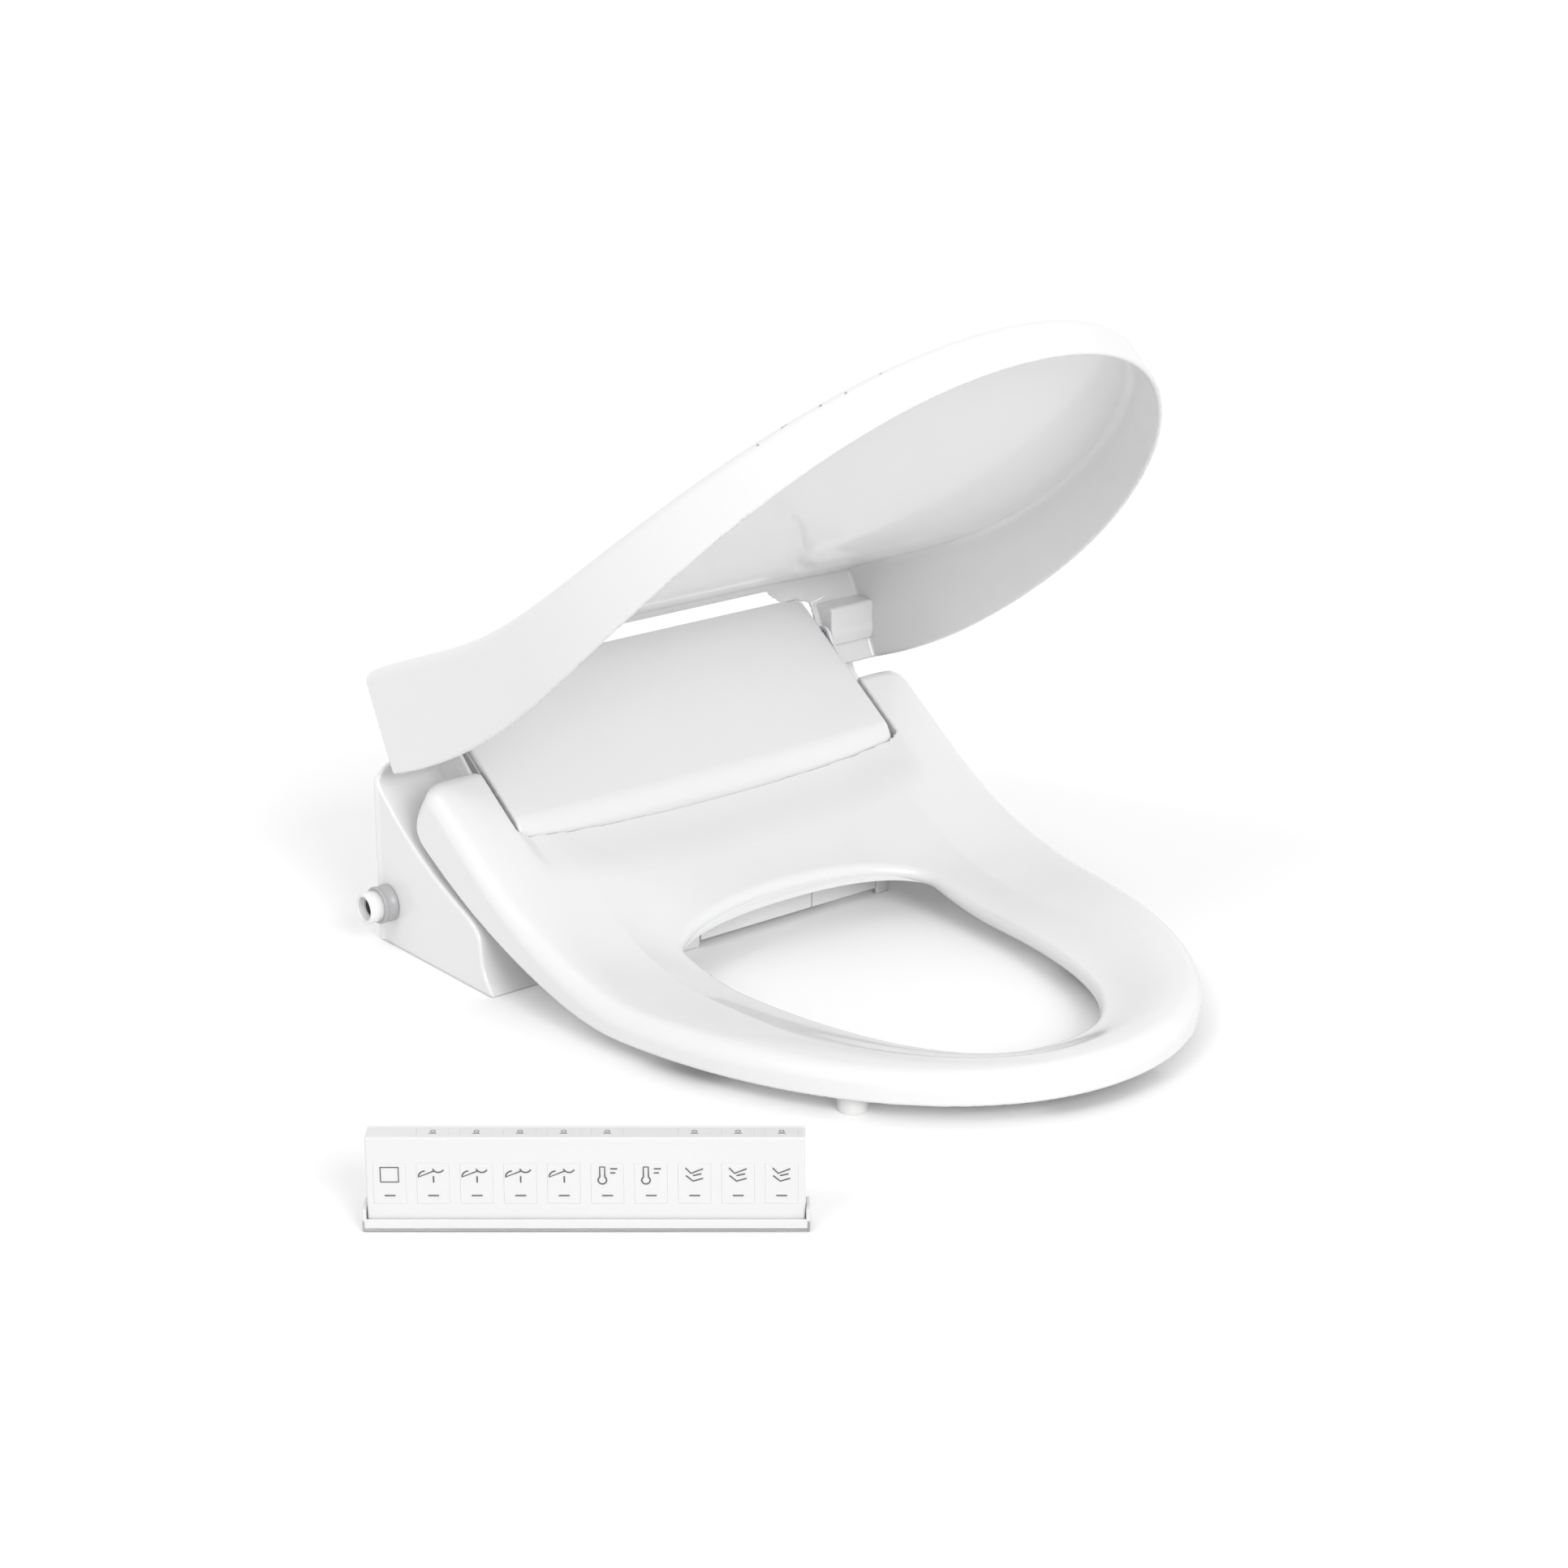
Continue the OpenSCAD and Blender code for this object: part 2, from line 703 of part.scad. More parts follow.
housing_shell();
top_cover();
base_tray();
mounting_plate();
release_button();
water_inlet();
inlet_filter();
inlet_valve();
water_heater();
diverter_valve();
nozzle_holder();
nozzle_motors();
rear_nozzle();
front_nozzle();
nozzle_flap();
dryer_flap();
dryer_housing();
dryer_impeller();
dryer_duct();
deodoriser_tray();
control_board();
power_board();
cord_gland();
hinge_dampers();
hinge_shafts();
case_screws();
seat_shell();
seat_base();
seat_heater();
seat_arms();
seat_bumpers();
lid_shell();
lid_bosses();
remote_cradle();
remote_case();
remote_back();
remote_board();
battery_door();
batteries();
for (k = [0:front_keys - 1])
    front_key(k);
for (k = [0:top_keys - 1])
    top_key(k);
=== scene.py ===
"""Electric bidet seat: the visual model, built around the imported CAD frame."""

import json
import math

import bmesh
import bpy
import numpy as np
from mathutils import Matrix, Vector


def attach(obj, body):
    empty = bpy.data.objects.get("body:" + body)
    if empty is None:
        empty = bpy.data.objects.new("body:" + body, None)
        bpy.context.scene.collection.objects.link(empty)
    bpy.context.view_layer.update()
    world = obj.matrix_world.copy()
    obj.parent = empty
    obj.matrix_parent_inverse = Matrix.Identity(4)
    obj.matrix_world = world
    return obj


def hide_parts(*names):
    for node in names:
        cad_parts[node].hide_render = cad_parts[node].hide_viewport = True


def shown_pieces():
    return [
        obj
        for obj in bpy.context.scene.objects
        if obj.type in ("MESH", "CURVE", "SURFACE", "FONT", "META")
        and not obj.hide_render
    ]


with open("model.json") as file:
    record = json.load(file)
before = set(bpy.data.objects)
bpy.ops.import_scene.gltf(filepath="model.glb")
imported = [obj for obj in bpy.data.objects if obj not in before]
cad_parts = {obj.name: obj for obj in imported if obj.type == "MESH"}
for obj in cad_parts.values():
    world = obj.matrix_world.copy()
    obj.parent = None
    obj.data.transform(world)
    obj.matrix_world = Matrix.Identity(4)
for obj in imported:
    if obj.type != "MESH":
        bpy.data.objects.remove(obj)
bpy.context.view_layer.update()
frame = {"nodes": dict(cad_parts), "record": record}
MM = 0.001

# ---------------------------------------------------------------- camera

camera_data = bpy.data.cameras.new("camera")
camera_data.lens = 75.42
camera_data.sensor_width = 36
camera_data.clip_end = 50
camera = bpy.data.objects.new("camera", camera_data)
camera.location = (-1.2184, -1.6228, 0.7894)
camera.rotation_euler = (math.radians(70.57), 0, math.radians(-39.01))
bpy.context.scene.collection.objects.link(camera)
bpy.context.scene.camera = camera

# ---------------------------------------------------------------- sizes, in millimetres

HINGE_Y, HINGE_Z = 30.0, 138.5
LID_OPEN = math.radians(49.0)
RING_Y = -150.0
SEAT_HALF, SEAT_FRONT = 192.5, 275.0
HOLE_HALF, HOLE_FRONT, HOLE_REAR = 100.0, 222.0, 33.0
SLOPE = 0.706
BLOCK_HALF = 151.0
COVER_Y, COVER_Z = -48.0, 92.0
HOUSE_HALF, HOUSE_REAR = 195.5, 48.0
EAR_IN, EAR_OUT = 154.0, 194.3
LIP_BOW = 1.2
LID_HALF, LID_FRONT, LID_WALL = 200.0, 278.0, 3.0


# ---------------------------------------------------------------- curves and fields

def oval(half, length, power, start, stop, count):
    """Points round an oval centred on the ring's widest line; length may differ front and rear."""
    t = np.radians(np.linspace(start, stop, count))
    c, s = np.cos(t), np.sin(t)
    x = half * np.sign(c) * np.abs(c) ** (2 / power)
    y = RING_Y - np.sign(s) * np.abs(length) * np.abs(s) ** (2 / power)
    return np.stack([x, y], 1)


def bezier(p0, p1, p2, p3, count=60):
    t = np.linspace(0, 1, count)[:, None]
    s = 1 - t
    p = [np.array(q, float) for q in (p0, p1, p2, p3)]
    return s**3 * p[0] + 3 * s * s * t * p[1] + 3 * s * t * t * p[2] + t**3 * p[3]


def height_along(points):
    """A height as a function of y, read off a curve of (y, z) points."""
    points = points[np.argsort(points[:, 0])]
    return lambda y: np.interp(y, points[:, 0], points[:, 1])


def smooth(t):
    t = np.clip(t, 0, 1)
    return t * t * (3 - 2 * t)


def corner(centre, radius, start, stop, count=9):
    t = np.radians(np.linspace(start, stop, count))
    return np.stack([centre[0] + radius * np.cos(t), centre[1] + radius * np.sin(t)], 1)


class Outline:
    """Signed distance to a closed outline, negative inside, read off a fine grid."""

    def __init__(self, points, margin=30.0, step=1.0):
        p = np.asarray(points, float)
        q = np.roll(p, -1, 0)
        self.low = p.min(0) - margin
        size = np.ceil((p.max(0) + margin - self.low) / step).astype(int) + 1
        self.step = step
        x = self.low[0] + step * np.arange(size[0])[:, None]
        y = self.low[1] + step * np.arange(size[1])[None, :]
        best = np.full((size[0], size[1]), 1e9)
        inside = np.zeros((size[0], size[1]), bool)
        for (ax, ay), (bx, by) in zip(p, q):
            dx, dy = bx - ax, by - ay
            length = dx * dx + dy * dy
            if length < 1e-9:
                continue
            t = np.clip(((x - ax) * dx + (y - ay) * dy) / length, 0, 1)
            best = np.minimum(best, (ax + t * dx - x) ** 2 + (ay + t * dy - y) ** 2)
            if ay != by:
                inside ^= ((ay > y) != (by > y)) & (x < dx * (y - ay) / (by - ay) + ax)
        self.grid = np.where(inside, -1, 1) * np.sqrt(best)

    def __call__(self, x, y):
        u = np.clip((x - self.low[0]) / self.step, 0, self.grid.shape[0] - 1.001)
        v = np.clip((y - self.low[1]) / self.step, 0, self.grid.shape[1] - 1.001)
        i, j = np.floor(u).astype(int), np.floor(v).astype(int)
        u, v = u - i, v - j
        g = self.grid
        return ((g[i, j] * (1 - u) + g[i + 1, j] * u) * (1 - v)
                + (g[i, j + 1] * (1 - u) + g[i + 1, j + 1] * u) * v)


def both(a, b, r):
    """Where a and b are both solid, with the meeting edge rounded to radius r."""
    return np.minimum(np.maximum(a, b), -r) + np.hypot(np.maximum(a + r, 0), np.maximum(b + r, 0))


def either(a, b, r):
    """Where a or b is solid, with a fillet of radius r between them."""
    return np.maximum(np.minimum(a, b), r) - np.hypot(np.maximum(r - a, 0), np.maximum(r - b, 0))


def slab(v, low, high):
    return np.maximum(low - v, v - high)


# ---------------------------------------------------------------- meshes

CORNERS = np.array([(i, j, k) for i in (0, 1) for j in (0, 1) for k in (0, 1)])
EDGES = [(a, b) for a in range(8) for b in range(a + 1, 8)
         if np.abs(CORNERS[a] - CORNERS[b]).sum() == 1]


def gradient(field, v, h=0.15):
    g = np.empty_like(v)
    for axis in range(3):
        d = np.zeros(3)
        d[axis] = h
        hi, lo = v + d, v - d
        g[:, axis] = (field(*hi.T) - field(*lo.T)) / (2 * h)
    return g


def settle(field, v, step, rounds=3):
    """Moves points onto the field's zero surface."""
    for _ in range(rounds):
        g = gradient(field, v)
        f = field(*v.T)
        move = f[:, None] * g / np.maximum((g * g).sum(1), 0.05)[:, None]
        size = np.linalg.norm(move, axis=1, keepdims=True)
        v = v - move * np.minimum(1, 0.7 * step / np.maximum(size, 1e-9))
    return v


def skin(field, low, high, step):
    """A closed quad mesh of the surface where field is zero."""
    axes = [np.arange(a - 2 * step, b + 3 * step, step) for a, b in zip(low, high)]
    f = field(axes[0][:, None, None], axes[1][None, :, None], axes[2][None, None, :])
    f = np.broadcast_to(f, [len(a) for a in axes]).astype(np.float32)
    solid = f < 0
    n = [len(a) - 1 for a in axes]
    total = np.zeros(n, np.int8)
    for c in CORNERS:
        total += solid[c[0]:c[0] + n[0], c[1]:c[1] + n[1], c[2]:c[2] + n[2]]
    cells = np.argwhere((total > 0) & (total < 8))
    number = np.full(n, -1, np.int64)
    number[tuple(cells.T)] = np.arange(len(cells))
    values = np.stack([f[tuple((cells + c).T)] for c in CORNERS], 1)
    place = np.zeros((len(cells), 3))
    weight = np.zeros(len(cells))
    for a, b in EDGES:
        cross = (values[:, a] < 0) != (values[:, b] < 0)
        t = values[cross, a] / (values[cross, a] - values[cross, b])
        place[cross] += CORNERS[a] + t[:, None] * (CORNERS[b] - CORNERS[a])
        weight[cross] += 1
    place = cells + place / weight[:, None]
    verts = np.stack([axes[i][0] + place[:, i] * step for i in range(3)], 1)
    quads = []
    for axis in range(3):
        other = [(axis + 1) % 3, (axis + 2) % 3]
        lo = [slice(None)] * 3
        hi = [slice(None)] * 3
        lo[axis], hi[axis] = slice(0, -1), slice(1, None)
        flip = solid[tuple(lo)] != solid[tuple(hi)]
        at = np.argwhere(flip)
        keep = (at[:, other[0]] > 0) & (at[:, other[1]] > 0)
        keep &= (at[:, other[0]] < n[other[0]]) & (at[:, other[1]] < n[other[1]])
        at = at[keep]
        ring = []
        for du, dv in ((-1, -1), (0, -1), (0, 0), (-1, 0)):
            cell = at.copy()
            cell[:, other[0]] += du
            cell[:, other[1]] += dv
            ring.append(number[tuple(cell.T)])
        ring = np.stack(ring, 1)
        out = solid[tuple(at.T)]
        ring[~out] = ring[~out][:, ::-1]
        quads.append(ring)
    return settle(field, verts, step), np.concatenate(quads)


def mesh_object(name, verts, faces):
    """A mesh object from millimetre points."""
    mesh = bpy.data.meshes.new(name)
    verts = np.asarray(verts, float) * MM
    if isinstance(faces, np.ndarray):
        mesh.vertices.add(len(verts))
        mesh.vertices.foreach_set("co", verts.ravel())
        mesh.loops.add(faces.size)
        mesh.loops.foreach_set("vertex_index", faces.ravel().astype(np.int32))
        mesh.polygons.add(len(faces))
        starts = np.arange(0, faces.size, faces.shape[1], dtype=np.int32)
        mesh.polygons.foreach_set("loop_start", starts)
        mesh.update(calc_edges=True)
    else:
        mesh.from_pydata([tuple(v) for v in verts], [], [tuple(f) for f in faces])
    mesh.validate()
    mesh.polygons.foreach_set("use_smooth", [True] * len(mesh.polygons))
    obj = bpy.data.objects.new(name, mesh)
    bpy.context.scene.collection.objects.link(obj)
    return obj


def applied(obj):
    """Bakes an object's modifiers into its mesh."""
    graph = bpy.context.evaluated_depsgraph_get()
    mesh = bpy.data.meshes.new_from_object(obj.evaluated_get(graph))
    obj.modifiers.clear()
    obj.data = mesh
    return obj


def mould(name, field, low, high, step, keep=0.3, turn=None):
    """A moulded shell from a field: meshed, thinned where it is flat, put back on the surface."""
    verts, quads = skin(field, low, high, step)
    obj = mesh_object(name, verts, quads)
    thin = obj.modifiers.new("thin", "DECIMATE")
    thin.ratio = keep
    applied(obj)
    clean = bmesh.new()
    clean.from_mesh(obj.data)
    bmesh.ops.dissolve_degenerate(clean, edges=clean.edges, dist=0.2 * MM)
    bmesh.ops.triangulate(clean, faces=clean.faces)
    clean.to_mesh(obj.data)
    clean.free()
    count = len(obj.data.vertices)
    v = np.empty(count * 3)
    obj.data.vertices.foreach_get("co", v)
    v = settle(field, v.reshape(-1, 3) / MM, step, 2)
    g = gradient(field, v)
    g /= np.maximum(np.linalg.norm(g, axis=1, keepdims=True), 1e-9)
    if turn is not None:
        v, g = turn(v), turn(g, False)
    obj.data.vertices.foreach_set("co", (v * MM).ravel())
    obj.data.polygons.foreach_set("use_smooth", [True] * len(obj.data.polygons))
    obj.data.update()
    # where the field's own normal is unsure, at a crease, the mesh's normal is kept
    plain = np.empty(count * 3, np.float32)
    obj.data.vertex_normals.foreach_get("vector", plain)
    plain = plain.reshape(-1, 3)
    g = np.where((plain * g).sum(1, keepdims=True) > 0.8, g, plain)
    obj.data.normals_split_custom_set_from_vertices([tuple(float(a) for a in n) for n in g])
    return obj


def open_lid(v, place=True):
    """Turns points of the closed lid to the drawn, part-open pose."""
    c, s = math.cos(LID_OPEN), math.sin(LID_OPEN)
    out = np.array(v, float)
    y, z = out[:, 1].copy(), out[:, 2].copy()
    if place:
        y, z = y - HINGE_Y, z - HINGE_Z
    out[:, 1], out[:, 2] = y * c + z * s, -y * s + z * c
    if place:
        out[:, 1] += HINGE_Y
        out[:, 2] += HINGE_Z
    return out


# ---------------------------------------------------------------- seat

SEAT_LOW = 31.0                                   # upper face of the ring, before its dish
RISE_Y0, RISE_Y1 = COVER_Y - 162, COVER_Y - 12    # the face curves up between these


def seat_rise(y):
    """Height of the seat's upper face before its dish."""
    mid = SEAT_LOW + SLOPE * (y - RISE_Y0) ** 2 / (2 * (RISE_Y1 - RISE_Y0))
    high = SEAT_LOW + SLOPE * (RISE_Y1 - RISE_Y0) / 2 + SLOPE * (y - RISE_Y1)
    return np.where(y < RISE_Y0, SEAT_LOW, np.where(y < RISE_Y1, mid, high))


def seat_slope(y):
    return SLOPE * np.clip((y - RISE_Y0) / (RISE_Y1 - RISE_Y0), 0, 1)


seat_side = Outline(np.concatenate([
    bezier((-5, 75), (-35, 56), (-120, 11), (-200, 11), 30),
    [(-460, 11), (-460, 170), (-38, 170), (-7.6, 122)],
    bezier((-5.5, 119), (6, 104), (11, 87), (-3, 76), 14)]), 40)
seat_edge = Outline(np.concatenate([
    oval(SEAT_HALF, SEAT_FRONT, 2.05, 0, 180, 90),
    [(-SEAT_HALF - 0.6, -110), (-EAR_OUT, -60)],
    [(-EAR_OUT, 30), (EAR_OUT, 30)],
    [(EAR_OUT, -60), (SEAT_HALF + 0.6, -110)]]))
hole_edge = Outline(np.concatenate([
    oval(HOLE_HALF, HOLE_FRONT, 2.4, 0, 180, 70),
    oval(HOLE_HALF, HOLE_REAR, 2.0, 180, 360, 50)[1:-1]]))


SEAT_THICK, SEAT_SKIN = 20, 3.2
SOLID_RIM = 38    # the ring is solid this far from the hole


def seat_field(x, y, z):
    edge = seat_edge(x, y)
    hole = hole_edge(x, y)
    share = np.clip(hole / np.maximum(hole - edge, 1), 0, 1)
    dish = 11.5 * (1 - smooth(share / 0.7)) + 2.0 * smooth((share - 0.72) / 0.28)
    # the face sinks a little towards the cover's raised lip
    dish = dish + 5.0 * smooth((y + 84) / 34) * (1 - smooth((np.abs(x) - 144) / 12))
    lean = 1 / np.sqrt(1 + seat_slope(y) ** 2)
    top = (z - seat_rise(y) - 0.6 + dish) * lean
    middle = smooth((np.abs(x) - 112) / 42)
    side = seat_side(y, z)
    under = (seat_rise(y) - SEAT_THICK - z) * lean
    bottom = under + middle * (side - under)
    rear = (y + 6.5) * 0.819 + (z - 122.6) * 0.574
    outer = both(edge, rear, 15.0)
    body = both(outer, top, 10.0)
    body = both(body, bottom, 2.5)
    body = both(body, -hole, 4.5)
    notch_front = COVER_Y - 0.5 - LIP_BOW * (1 - (x / EAR_IN) ** 2)
    notch = np.maximum(np.abs(x) - EAR_IN, notch_front - y)
    body = both(body, -notch, 1.4)
    body = np.maximum(body, both(rear, -notch, 9.0))
    inside = np.maximum(np.maximum(outer, -hole), np.maximum(-notch, rear)) + SEAT_SKIN
    inside = np.maximum(np.maximum(inside, top + 14), SOLID_RIM - hole)
    return np.maximum(body, -inside)


seat = mould("seat_ring", seat_field, (-196, -426, 9), (196, 10, 125), 1.8, 0.4)
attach(seat, "seat")
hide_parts("seat_shell")

# ---------------------------------------------------------------- lid

lid_rim = height_along(bezier((42, 120), (-129.5, 18.3), (-355, 37.8), (-440, 34)))
lid_top = height_along(np.concatenate([
    bezier((17, 181), (-96, 129.9), (-111, 82.4), (-440, 61)), [(60, 200.3)]]))
lid_edge = Outline(np.concatenate([
    oval(LID_HALF - 0.5, LID_FRONT - 0.5, 2.05, 0, 180, 90),
    [(-198, -60), (-196.5, 90), (196.5, 90), (198, -60)]]))


def slope_of(height, y):
    return (height(y + 2) - height(y - 2)) / 4


def lid_rear(y, z):
    """Distance behind the lid's sloping rear plane, for the closed lid."""
    return (y - 42) * 0.925 + (z - 120) * 0.380


def lid_field(x, y, z):
    edge = lid_edge(x, y)
    lean_top = 1 / np.sqrt(1 + slope_of(lid_top, y) ** 2)
    lean_rim = 1 / np.sqrt(1 + slope_of(lid_rim, y) ** 2)
    crown = 3.0 * smooth(-edge / 150)
    top = (z - lid_top(y) - crown) * lean_top
    rim = (lid_rim(y) - z) * lean_rim
    rear = lid_rear(y, z)
    outer = both(edge, top, 8.0)
    outer = both(outer, rear, 2.0)
    inner_edge = both(edge + LID_WALL, top + LID_WALL, 5.0)
    inner = both(inner_edge, rear + LID_WALL, 2.0)
    # the rear wall is cut away round the centre block
    height = z - HINGE_Z
    half = np.interp(height, [24, 26, 28, 34.8], [153.5, 148, 131, 121.8])
    gap = np.maximum(np.abs(x) - half, HINGE_Y - 13 - y)
    gap = both(gap, inner_edge, 0.5)
    shell = both(outer, -np.minimum(inner, gap), 1.3)
    return both(shell, rim, 1.4)


lid = mould("lid_moulding", lid_field, (-200, -428, 30), (200, 44, 188), 1.75, 0.3, open_lid)
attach(lid, "lid")
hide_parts("lid_shell")

# ---------------------------------------------------------------- housing

wing_line = np.concatenate([
    [(-77.5, -40), (-77.5, 1)],
    bezier((-75, 4.5), (-67, 12), (-66.5, 22), (-66, 28), 10)[:-1],
    bezier((-66, 28), (-64.5, 40), (-58, 43.5), (-45, 48.6), 14)[:-1],
    bezier((-45, 48.6), (-20, 58.2), (10, 72), (HOUSE_REAR - 3, 105), 20),
    [(HOUSE_REAR, 109), (HOUSE_REAR, -40)]])
wing_side = Outline(wing_line)
block_side = Outline([(-62, -40), (-60, 40), (-47, 58), (-47, 84.6), (HOUSE_REAR, 155.4),
                      (HOUSE_REAR, -40)])
nose_side = Outline([(-92, -40), (-92, 26), (-80, 34), (-58, 50), (-20, 56), (-20, -40)])
rear_face = Outline(np.concatenate([
    [(HOUSE_HALF, -40)], corner((HOUSE_HALF - 16, 102), 16, 0, 90),
    corner((16 - HOUSE_HALF, 102), 16, 90, 180), [(-HOUSE_HALF, -40)]]))


INLET_Y, INLET_Z = 36, 28.5


def house_field(x, y, z):
    ax = np.abs(x)
    wing, block, nose = wing_side(y, z), block_side(y, z), nose_side(y, z)
    back = both(rear_face(x, z), slab(y, HOUSE_REAR - 3, HOUSE_REAR), 1.2)
    body = both(wing, ax - HOUSE_HALF, 1.8)
    body = either(body, back, 3.0)
    body = either(body, both(block, ax - BLOCK_HALF, 1.2), 1.5)
    body = np.minimum(body, both(nose, ax - 112, 2.5))
    body = both(body, -z, 0.3)
    hollow = np.maximum(wing + 3, ax - HOUSE_HALF + 3)
    hollow = np.minimum(hollow, np.maximum(block + 3, ax - BLOCK_HALF + 3))
    hollow = np.minimum(hollow, np.maximum(nose + 3, ax - 109))
    windows = np.maximum(slab(x, -46, 100), np.maximum(y + 87, z - 21))
    round_holes = np.maximum(np.hypot(y - HINGE_Y, z - HINGE_Z) - 6.0, BLOCK_HALF - 3.5 - ax)
    for hole in (np.maximum(np.hypot(y - INLET_Y, z - INLET_Z) - 7.2, x + 190),    # water inlet
                 np.maximum(np.hypot(y + 40, z - 20) - 8, 190 - x),                # release button
                 np.maximum(np.hypot(x - 150, z - 24) - 6.2, 43 - y)):             # cord gland
        round_holes = np.minimum(round_holes, hole)
    drawer = np.maximum(np.maximum(slab(y, -12, 22), slab(z, 10, 46)), 190 - x)
    cuts = np.minimum(np.minimum(windows, round_holes), drawer)
    return both(body, -np.minimum(hollow, cuts), 0.5)


house = mould("housing_moulding", house_field, (-HOUSE_HALF, -92, 0),
              (HOUSE_HALF, HOUSE_REAR, 156), 1.5, 0.25)
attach(house, "housing")
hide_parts("housing_shell")


def cover_field(x, y, z):
    crown = 4.6 * smooth((y + 20) / 66) * (1 - np.clip(np.abs(x) / BLOCK_HALF, 0, 1) ** 24)
    face = (z - COVER_Z - SLOPE * (y - COVER_Y) - crown) * 0.817
    under = np.minimum((85.1 + 0.745 * (y + 47) - z) * 0.80, np.maximum(76 - z, y + 44.5))
    front = COVER_Y - LIP_BOW * (1 - (x / BLOCK_HALF) ** 2) - y
    body = both(face, front, 8.0)
    body = both(body, y - HOUSE_REAR, 2.0)
    body = both(body, np.abs(x) - BLOCK_HALF, 1.6)
    body = np.maximum(body, under)
    socket = np.maximum(np.hypot(y - HINGE_Y, z - HINGE_Z) - 6.0, BLOCK_HALF - 3.5 - np.abs(x))
    return np.maximum(body, -socket)


cover = mould("sloping_cover", cover_field, (-BLOCK_HALF, -52, 75),
              (BLOCK_HALF, HOUSE_REAR, 166), 1.5, 0.3)
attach(cover, "housing")
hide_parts("top_cover")


# ---------------------------------------------------------------- small hard parts

def finish_edges(obj, width, segments=3, angle=35):
    bevel = obj.modifiers.new("edges", "BEVEL")
    bevel.width = width * MM
    bevel.segments = segments
    bevel.limit_method = "ANGLE"
    bevel.angle_limit = math.radians(angle)
    bevel.harden_normals = True
    return applied(obj)


def bar(name, low, high, edge=0.6, place=None, segments=3):
    """A box with rounded edges."""
    x0, y0, z0 = low
    x1, y1, z1 = high
    verts = np.array([(x, y, z) for x in (x0, x1) for y in (y0, y1) for z in (z0, z1)], float)
    faces = [(0, 1, 3, 2), (4, 6, 7, 5), (0, 4, 5, 1), (2, 3, 7, 6), (0, 2, 6, 4), (1, 5, 7, 3)]
    obj = mesh_object(name, verts, faces)
    finish_edges(obj, edge, segments)
    if place is not None:
        obj.data.transform(place)
    return obj


def turned(name, profile, origin, axis, count=64):
    """A closed ring of (radius, height) points turned about an axis."""
    axis = Vector(axis).normalized()
    side = axis.orthogonal().normalized()
    third = axis.cross(side)
    verts, faces = [], []
    k = len(profile)
    for i in range(count):
        a = 2 * math.pi * i / count
        d = side * math.cos(a) + third * math.sin(a)
        for r, h in profile:
            verts.append(np.array(origin) + np.array(d) * r + np.array(axis) * h)
    for i in range(count):
        j = (i + 1) % count
        for p in range(k):
            q = (p + 1) % k
            faces.append((i * k + p, i * k + q, j * k + q, j * k + p))
    obj = mesh_object(name, verts, faces)
    clean = bmesh.new()
    clean.from_mesh(obj.data)
    bmesh.ops.remove_doubles(clean, verts=clean.verts, dist=1e-6)
    bmesh.ops.recalc_face_normals(clean, faces=clean.faces)
    clean.to_mesh(obj.data)
    clean.free()
    return obj


def crisp(obj, angle=30):
    """Sharp edges kept sharp, flat faces shaded flat."""
    obj.data.polygons.foreach_set("use_smooth", [True] * len(obj.data.polygons))
    obj.data.set_sharp_from_angle(angle=math.radians(angle))
    even = obj.modifiers.new("normals", "WEIGHTED_NORMAL")
    even.keep_sharp = True
    return applied(obj)


def joined(name, objects):
    """One object from several, keeping each one's mesh."""
    merged = bmesh.new()
    for o in objects:
        merged.from_mesh(o.data)
        bpy.data.objects.remove(o)
    mesh = bpy.data.meshes.new(name)
    merged.to_mesh(mesh)
    merged.free()
    obj = bpy.data.objects.new(name, mesh)
    bpy.context.scene.collection.objects.link(obj)
    return crisp(obj)


def add(obj, body, node):
    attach(obj, body)
    if node:
        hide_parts(node)
    return obj


# water inlet: a hollow spigot with a grey union nut against the housing
inlet_place = ((-HOUSE_HALF, INLET_Y, INLET_Z), (-1, 0, 0))
inlet = turned("inlet_spigot", [
    (4.2, -22), (7, -22), (7, 0), (8.6, 0.2), (8.6, 9.5), (10, 10), (10, 17.6), (9.4, 18.8),
    (8.3, 19.2), (7.7, 18.7), (7.5, 18), (7.5, 3.6), (4.2, 3.4)], *inlet_place)
add(inlet, "housing", "water_inlet")
nut = turned("inlet_nut", [
    (8.7, 0.1), (11.4, 0.1), (12, 0.8), (12, 3), (11.7, 3.3), (11.7, 8.2), (12, 8.5), (12, 9.4),
    (11.4, 10), (8.7, 10)], *inlet_place, 96)
add(nut, "housing", None)
# a black disc in the spigot's bore: a filter screen, drawn black as painted shade for the deep bore
screen_and_bore_shade = turned("inlet_screen_and_bore_shade", [(0.01, 8), (7.4, 8), (7.4, 9), (0.01, 9)], *inlet_place, 48)
add(screen_and_bore_shade, "housing", None)

# slim seat arms from the ears to the shafts
for sign, side in ((-1, "left"), (1, "right")):
    def arm_field(x, y, z, sign=sign):
        along = np.clip(((y + 8) * 38 + (z - 103) * 35.5) / (38 ** 2 + 35.5 ** 2), 0, 1)
        web = np.hypot(y + 8 - 38 * along, z - 103 - 35.5 * along) - 5.0
        eye = np.hypot(y - HINGE_Y, z - HINGE_Z)
        body = either(web, eye - 7.0, 3.0)
        return np.maximum(both(body, slab(x * sign, 154.4, 157.0), 0.6), 4.1 - eye)
    low, high = sorted((sign * 154.4, sign * 157.0))
    arm = mould("seat_arm_" + side, arm_field, (low, -14, 96), (high, 38, 147), 0.8, 0.5)
    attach(arm, "seat")
    if side == "left":
        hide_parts("seat_arms")

